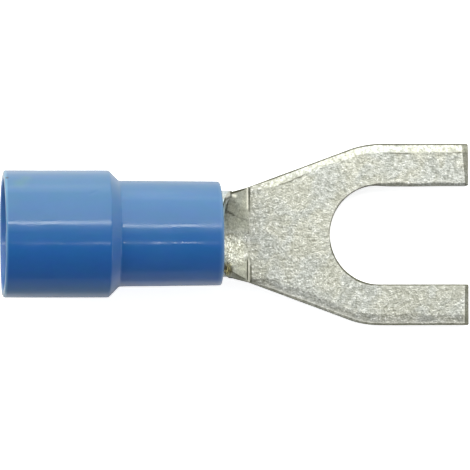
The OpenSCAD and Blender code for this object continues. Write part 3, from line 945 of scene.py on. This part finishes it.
def painted_sleeve_reflection(tree, colour, place):
    """Paints the sleeve's blue reflection on the metal beside the sleeve's nose: faintly up to half a
    millimetre in front of it, and more close to it, save on the far +Y side. The bore stays clear of it."""
    x, y = axes(tree, place)[:2]
    under = between(tree, x, (NOSE_X - 0.3) * MM, (NOSE_X - 0.1) * MM)
    wide = times(tree, between(tree, x, (NOSE_X + 0.5) * MM, (NOSE_X + 0.15) * MM), under)
    colour = blend_colours(tree, wide, colour, NOSE_REFLECTION, "MULTIPLY")
    close = between(tree, x, (NOSE_X + 0.14) * MM, (NOSE_X + 0.02) * MM)
    close = times(tree, close, between(tree, y, 1.6 * MM, 1.3 * MM))
    return blend_colours(tree, times(tree, close, under), colour, CLOSE_REFLECTION, "MULTIPLY")


def tinned_copper(grain, smudges):
    """Matte electroplated tin: light warm grey with a fine bright and dark grain. Painted light and
    shade, painted highlights, dark lines that are mostly painted shade, speckle with painted glints
    and a rust-brown worn spot lie where the mesh keeps them, and a painted blue reflection of the
    sleeve lies beside its nose. Sheared edges are dark olive grey with no plate left; on the
    bevels at the tips the same colour is painted shade."""
    material, tree, place = empty_material("tinned_copper")
    rough = placed(tree, grain, Vector=place, Fine=12000.0, Coarse=6200.0, Pitting=0.5, Contrast=1.45,
                   Sparkle=0.85)
    dull = placed(tree, smudges, Vector=place, Scale=420.0, Amount=0.25)["Mask"]
    smeared = kept_value(tree, "matte")
    marks = kept_value(tree, "marks")
    cut = kept_value(tree, "sheared")
    colour = plate_colour(tree, rough, dull, smeared)
    colour = painted_sleeve_reflection(tree, speckled(tree, colour, place), place)
    # Painted highlights where the marks are above 0, and dark lines, mostly painted shade, below it
    colour = blend_colours(tree, times(tree, marks, 1.0, clamp=True), colour, PAINTED_HIGHLIGHT)
    colour = blend_colours(tree, times(tree, marks, -1.0, clamp=True), colour, DARK_LINES)
    colour = blend_colours(tree, cut, colour, CUT_METAL)
    streaks = noise(tree, stretched(tree, place, (1.0, 0.3, 1.0), GRAIN_TURN), 8000.0, 1.0)
    rust = blend_colours(tree, between(tree, streaks, 0.5, 0.6), RUST_DARK, RUST_LIGHT)
    worn = times(tree, kept_value(tree, "worn"), 1.0, clamp=True)
    matte = between(tree, rough["Mask"], 0, 1, 0.58, 0.48)
    matte = maths(tree, "MULTIPLY_ADD", smeared, 0.35, matte)
    bump = add(tree, "ShaderNodeBump", {"Height": rough["Height"], "Strength": 1.0, "Distance": 0.013 * MM})
    connect(tree, principled(tree), {
        "Base Color": blend_colours(tree, worn, colour, rust),
        "Metallic": 1.0,
        "Roughness": maths(tree, "MULTIPLY_ADD", cut, 0.15, matte),
        "Normal": bump.outputs["Normal"],
    })
    return material


# The plastic's colour across the sleeve, with painted light and shade: Y in millimetres, and the
# colour there
BODY_SHADING = [
    (-2.6, (0.007, 0.081, 0.218)),
    (-2.0, (0.0054, 0.0715, 0.284)),
    (-1.3, (0.0057, 0.076, 0.298)),
    (-0.7, (0.0065, 0.0855, 0.314)),
    (0.0, (0.0075, 0.089, 0.29)),
    (1.2, (0.0105, 0.107, 0.297)),
    (2.0, (0.0105, 0.106, 0.265)),
]
# Inside the mouth the colour is lighter, painted light; at the lip it is a painted highlight
INSIDE, CLOUDED, GRAINED = (0.06, 0.17, 0.46), (0.75, 1.06, 0.95), (0.012, 0.14, 0.44)
LIP, NOSE, FILM = (0.28, 0.62, 0.80), (0.105, 0.215, 0.34), (0.10, 0.22, 0.36)
# How rough the skin is along the sleeve: X in millimetres, and the roughness there
SKIN_ROUGHNESS = [
    (-16.5, 0.12), (-15.9, 0.14), (-15.3, 0.17), (-14.9, 0.12), (-13.8, 0.12), (-13.2, 0.17),
    (-11.5, 0.13), (-11.3, 0.18), (-10.6, 0.19), (-10.2, 0.15), (-9.9, 0.13), (-9.65, 0.14),
    (-9.5, 0.19), (-9.34, 0.07), (-9.22, 0.07), (-9.08, 0.19), (-8.96, 0.06), (-8.6, 0.08),
    (-8.25, 0.14), (-8.0, 0.2), (-7.2, 0.21),
]
# Stains near the mouth: place, radius, strength and colour
STAINS = [
    ((-15.62, 2.45, 3.35), 0.42, 0.45, (0.035, 0.16, 0.16)),
    ((-15.9, 2.15, 3.6), 0.52, 0.4, (0.035, 0.16, 0.16)),
    ((-16.2, 1.3, 4.2), 0.6, 0.2, (0.02, 0.14, 0.2)),
    ((-16.45, 2.39, 3.27), 0.12, 1.0, (0.01, 0.03, 0.06)),
]


def ramp(tree, value, stops):
    """A colour by a value, a coordinate in metres, through stops given in millimetres."""
    low, high = stops[0][0], stops[-1][0]
    share = add(tree, "ShaderNodeMapRange", {"Value": value, "From Min": low * MM, "From Max": high * MM})
    node = add(tree, "ShaderNodeValToRGB", {"Fac": share.outputs["Result"]})
    marks = node.color_ramp.elements
    while len(marks) < len(stops):
        marks.new(0.5)
    for mark, (at, colour) in zip(marks, stops):
        mark.position = (at - low) / (high - low)
        mark.color = (*colour, 1)
    return node.outputs["Color"]


def body_colour(tree, place, inside, skin, film):
    """The plastic under the skin: painted light and shade across the sleeve, painted light inside the
    mouth, clouded along the sleeve, grained, a painted highlight at the upper lip, stained, greyer at
    the nose, and filmed over."""
    x, y, z = axes(tree, place)
    body = blend_colours(tree, inside, ramp(tree, y, BODY_SHADING), INSIDE)
    cloud = noise(tree, stretched(tree, place, (0.45, 1.0, 1.0)), 2600.0, 3.0)
    body = blend_colours(tree, between(tree, cloud, 0.35, 0.65), body,
                         blend_colours(tree, 1.0, body, CLOUDED, "MULTIPLY"))
    body = blend_colours(tree, times(tree, skin, 0.1), body, GRAINED)
    lip = between(tree, x, (MOUTH_X + 0.14) * MM, (MOUTH_X + 0.05) * MM, 0.0, 0.2)
    body = blend_colours(tree, times(tree, lip, between(tree, z, 0.5 * MM, 2 * MM)), body, LIP)
    for centre, radius, strength, tone in STAINS:
        away = add(tree, "ShaderNodeVectorMath", {0: place, 1: [c * MM for c in centre]},
                   operation="DISTANCE").outputs["Value"]
        body = blend_colours(tree, between(tree, away, radius * MM, 0.0, 0.0, strength), body, tone)
    nose = between(tree, x, (NOSE_X - 0.25) * MM, (NOSE_X - 0.02) * MM, 0.0, 0.5)
    body = blend_colours(tree, nose, body, NOSE)
    return blend_colours(tree, times(tree, film, 0.12), body, FILM)


def blue_pvc(grain, smudges):
    """Glossy blue moulded plastic: a clear skin over a softer body. The skin's roughness changes
    along the sleeve, and it is weaker inside the mouth."""
    material, tree, place = empty_material("blue_pvc")
    skin = placed(tree, grain, Vector=place, Fine=4000.0, Coarse=900.0, Pitting=0.1, Contrast=1.5)
    film = placed(tree, smudges, Vector=place, Scale=260.0, Amount=0.5)["Mask"]
    inside = kept_value(tree, "inside")
    glossy = ramp(tree, axes(tree, place)[0], [(at, (rough,) * 3) for at, rough in SKIN_ROUGHNESS])
    uneven = between(tree, noise(tree, place, 1800.0, 1.0), 0.35, 0.65, -0.02, 0.02)
    bump = add(tree, "ShaderNodeBump", {"Height": skin["Height"], "Strength": 1.0, "Distance": 0.0012 * MM})
    shader = principled(tree)
    # The plain value that stands wherever the link below can't be followed
    shader.inputs["Coat Roughness"].default_value = 0.15
    connect(tree, shader, {
        "Base Color": body_colour(tree, place, inside, skin["Mask"], film),
        "Roughness": between(tree, film, 0, 1, 0.34, 0.44),
        "IOR": 1.5,
        "Specular IOR Level": 0.2,
        "Coat Weight": between(tree, inside, 0, 1, 0.9, 0.5),
        "Coat Roughness": maths(tree, "ADD", glossy, uneven),
        "Coat IOR": 1.5,
        "Normal": bump.outputs["Normal"],
        "Coat Normal": bump.outputs["Normal"],
    })
    return material


grain = make_grain()
smudges = make_smudges()
make_piece("fork_terminal_sheet", *terminal_sheet(), tinned_copper(grain, smudges),
           "tinned_copper", "fork_terminal", 32)
make_piece("insulating_sleeve_shell", *sleeve_shell(), blue_pvc(grain, smudges),
           "blue_pvc", "insulating_sleeve", 40)


# Floor, light and camera

# The floor: how far it reaches in millimetres, its grey, the light of its own that the camera sees
# and that reflections show far off, where that starts beside the sleeve, and how slowly it grows
FLOOR_REACH, FLOOR_GREY = 900, (0.85, 0.85, 0.85)
GLOW_CAMERA, GLOW_FAR = 0.68, 2.9
CONTACT_Y, GLOW_REACH = 3.6 * MM, 25 * MM
# The world's level as light, and its colour
AMBIENT, SKY = 0.45, (0.98, 1.0, 1.04, 1)
# The dome: its level all round and what its places add, and its radius in metres
DOME_DIM, DOME_OVER, DOME_STRIP, DOME_WALL = 0.17, 0.28, 0.6, 2.6
DOME_R, DOME_RINGS, DOME_TURNS = 0.8, 24, 48
# How far off the lamps hang, in metres, and their colour
LAMP_DISTANCE, LAMP_COLOUR = 0.45, (1.0, 1.01, 0.94)
# Lamps: name, degrees off straight up, degrees from +Y towards +X, width and height in degrees
# as seen from the object, and radiance
LAMPS = [
    ("side_panel", 49.85, 0, 90, 52.7, 2.1),
    ("upper_tube", 19.0, 0, 50, 4.8, 9.0),
    ("far_tube", 18.5, 167.2, 2.4, 2.4, 14.0),
    ("end_panel", 62, -90, 60, 30, 1.6),
    ("front_panel", 73, 90, 70, 22, 1.6),
]
# The middle of the object, at which the lamps point
MIDDLE = Vector((-6.3, 0, 0.8)) * MM
# The camera: place in millimetres, turn in degrees, and pixels to a millimetre 190 mm from it
CAMERA_AT, CAMERA_TURN = (-23.183, -4.143, 190), (1.252, -5.0735, -0.1163)
PIXELS_PER_MM, SENSOR = 22.8075, 36


def shown_white(tree, lit, place):
    """Adds light of its own to the floor: white to the camera, and in reflections from nothing at
    the sleeve's side to white far off on the lamp's side, +Y: far * d / (d + reach), where d is
    the distance from the sleeve's side. Beside the tongue it is dimmer."""
    path = tree.nodes.new("ShaderNodeLightPath").outputs
    x, y = axes(tree, place)[:2]
    d = maths(tree, "MAXIMUM", maths(tree, "SUBTRACT", y, CONTACT_Y), 0.0)
    rise = maths(tree, "DIVIDE", d, maths(tree, "ADD", d, GLOW_REACH))
    rise = times(tree, rise, between(tree, x, -7 * MM, -3 * MM, GLOW_FAR, GLOW_FAR * 0.5))
    mirrored = maths(tree, "ADD", path["Is Glossy Ray"], path["Is Transmission Ray"])
    level = times(tree, mirrored, rise)
    level = maths(tree, "MULTIPLY_ADD", path["Is Camera Ray"], GLOW_CAMERA, level)
    glow = add(tree, "ShaderNodeEmission", {"Strength": level})
    return add(tree, "ShaderNodeAddShader", {0: lit, 1: glow.outputs[0]}).outputs[0]


def make_floor():
    """A white plane that touches the sleeve's wide part and the tips of the tines: it rises
    towards +X by the sleeve's overhang below the tongue over the distance between the two. It
    is clear from below, and in reflections it is darker, a painted shadow, most of all on the -Y side."""
    back = np.array([WIDE_X, 0, sleeve_low[2]])
    front = np.array([TIP_X, 0, 0.0])
    along = (front - back) / np.linalg.norm(front - back)
    across = np.array([0, 1, 0.0])
    corners = [(back + front) / 2 + FLOOR_REACH * (i * along + j * across)
               for i, j in ((-1, -1), (1, -1), (1, 1), (-1, 1))]
    mesh = bpy.data.meshes.new("floor")
    mesh.from_pydata([tuple(c * MM) for c in corners], [], [(0, 1, 2, 3)])
    material, tree, place = empty_material("floor_white")
    y = axes(tree, place)[1]
    shaded = times(tree, between(tree, y, -4 * MM, -8 * MM, 0.15, 0.6),
                   tree.nodes.new("ShaderNodeLightPath").outputs["Is Glossy Ray"])
    tone = blend_colours(tree, shaded, FLOOR_GREY, (0, 0, 0))
    paper = add(tree, "ShaderNodeBsdfDiffuse", {"Color": tone})
    facing = add(tree, "ShaderNodeMixShader", {
        0: tree.nodes.new("ShaderNodeNewGeometry").outputs["Backfacing"],
        1: shown_white(tree, paper.outputs[0], place),
        2: tree.nodes.new("ShaderNodeBsdfTransparent").outputs[0]})
    add(tree, "ShaderNodeOutputMaterial", {"Surface": facing.outputs[0]})
    floor = linked_mesh("floor", mesh, material)


def make_world():
    """White to the camera and in reflections, and a plain level as light."""
    world = bpy.data.worlds.new("studio")
    bpy.context.scene.world = world
    world.use_nodes = True
    tree = world.node_tree
    tree.nodes.clear()
    path = tree.nodes.new("ShaderNodeLightPath").outputs
    seen = maths(tree, "ADD", path["Is Camera Ray"], path["Is Glossy Ray"])
    seen = maths(tree, "ADD", seen, path["Is Transmission Ray"], clamp=True)
    level = maths(tree, "MULTIPLY_ADD", seen, 1.0 - AMBIENT, AMBIENT)
    shade = add(tree, "ShaderNodeBackground", {"Color": SKY, "Strength": level})
    add(tree, "ShaderNodeOutputWorld", {"Surface": shade.outputs[0]})


def toward(off, turn):
    """The direction that lies off degrees from straight up. Turn is 0 towards +Y, 90 towards +X."""
    a, b = math.radians(off), math.radians(turn)
    return Vector((math.sin(a) * math.sin(b), math.sin(a) * math.cos(b), math.cos(a)))


def panel_place(off, turn):
    """A lamp's place and rotation: its distance away in that direction, facing the object, with
    its own X across the direction and its Y up it."""
    back = toward(off, turn)
    side = Vector((math.cos(math.radians(turn)), -math.sin(math.radians(turn)), 0))
    turned = Matrix((side, back.cross(side), back)).transposed().to_4x4()
    return Matrix.Translation(MIDDLE + back * LAMP_DISTANCE) @ turned


def add_lamp(name, off, turn, wide, high, radiance):
    """A soft rectangular lamp given by its angular width and height in degrees."""
    data = bpy.data.lights.new(name, "AREA")
    data.shape = "RECTANGLE"
    data.color = LAMP_COLOUR
    data.size = 2 * LAMP_DISTANCE * math.tan(math.radians(wide / 2))
    data.size_y = 2 * LAMP_DISTANCE * math.tan(math.radians(high / 2))
    data.energy = math.pi * data.size * data.size_y * radiance
    lamp = bpy.data.objects.new(name, data)
    lamp.matrix_world = panel_place(off, turn)
    bpy.context.scene.collection.objects.link(lamp)


def make_dome():
    """A dome over the floor that only reflections show, painted in greys by direction: dim all
    round, lighter overhead, lighter again in a strip just short of the upper tube, and bright low
    down on the +Y side."""
    off = np.linspace(0, math.pi / 2, DOME_RINGS)[:, None]
    turn = np.linspace(0, 2 * math.pi, DOME_TURNS + 1)[None, :]
    points = DOME_R * np.stack(np.broadcast_arrays(
        np.sin(off) * np.cos(turn), np.sin(off) * np.sin(turn), np.cos(off)), -1)
    index = np.arange(DOME_RINGS * (DOME_TURNS + 1)).reshape(DOME_RINGS, DOME_TURNS + 1)
    mesh = bpy.data.meshes.new("studio_dome")
    mesh.from_pydata(points.reshape(-1, 3).tolist(), [], quads_of(index, True).tolist())
    material, tree, place = empty_material("studio_dome")
    x, y, z = axes(tree, place)
    to_degrees = math.degrees(1)
    side = times(tree, maths(tree, "ARCTAN2", y, z), to_degrees)
    end = maths(tree, "ABSOLUTE", times(tree, maths(tree, "ARCTAN2", x, z), to_degrees))
    within = between(tree, end, 60, 35)
    over = times(tree, between(tree, side, -19, -14), between(tree, side, 12, 8))
    strip = times(tree, between(tree, side, 3, 13), between(tree, side, 19, 16))
    wall = times(tree, between(tree, side, 74, 80), between(tree, maths(tree, "ABSOLUTE", x), 0.7, 0.5))
    level = maths(tree, "MULTIPLY_ADD", times(tree, over, within), DOME_OVER, DOME_DIM)
    level = maths(tree, "MULTIPLY_ADD", wall, DOME_WALL, level)
    level = maths(tree, "MULTIPLY_ADD", times(tree, strip, within), DOME_STRIP, level)
    glow = add(tree, "ShaderNodeEmission", {"Strength": level})
    add(tree, "ShaderNodeOutputMaterial", {"Surface": glow.outputs[0]})
    dome = linked_mesh("studio_dome", mesh, material)
    for kind in ("camera", "diffuse", "transmission", "volume_scatter", "shadow"):
        setattr(dome, "visible_" + kind, False)


def make_camera():
    """The camera looks down from 190 mm, a little from the sleeve's end and from the -Y side.
    Its place, turn and focal length come from matching outlines of the object in the photograph:
    the lens is sensor * scale * height / the photograph's width in pixels."""
    data = bpy.data.cameras.new("camera")
    data.sensor_width = SENSOR
    data.lens = SENSOR * PIXELS_PER_MM * CAMERA_AT[2] / PHOTO
    data.clip_start = 0.01
    data.clip_end = 10
    turn = Euler([math.radians(angle) for angle in CAMERA_TURN], "XYZ")
    camera = bpy.data.objects.new("camera", data)
    camera.matrix_world = Matrix.Translation(Vector(CAMERA_AT) * MM) @ turn.to_matrix().to_4x4()
    bpy.context.scene.collection.objects.link(camera)
    bpy.context.scene.camera = camera


make_floor()
make_world()
make_dome()
for lamp in LAMPS:
    add_lamp(*lamp)
make_camera()

bpy.context.scene.view_settings.view_transform = "Standard"
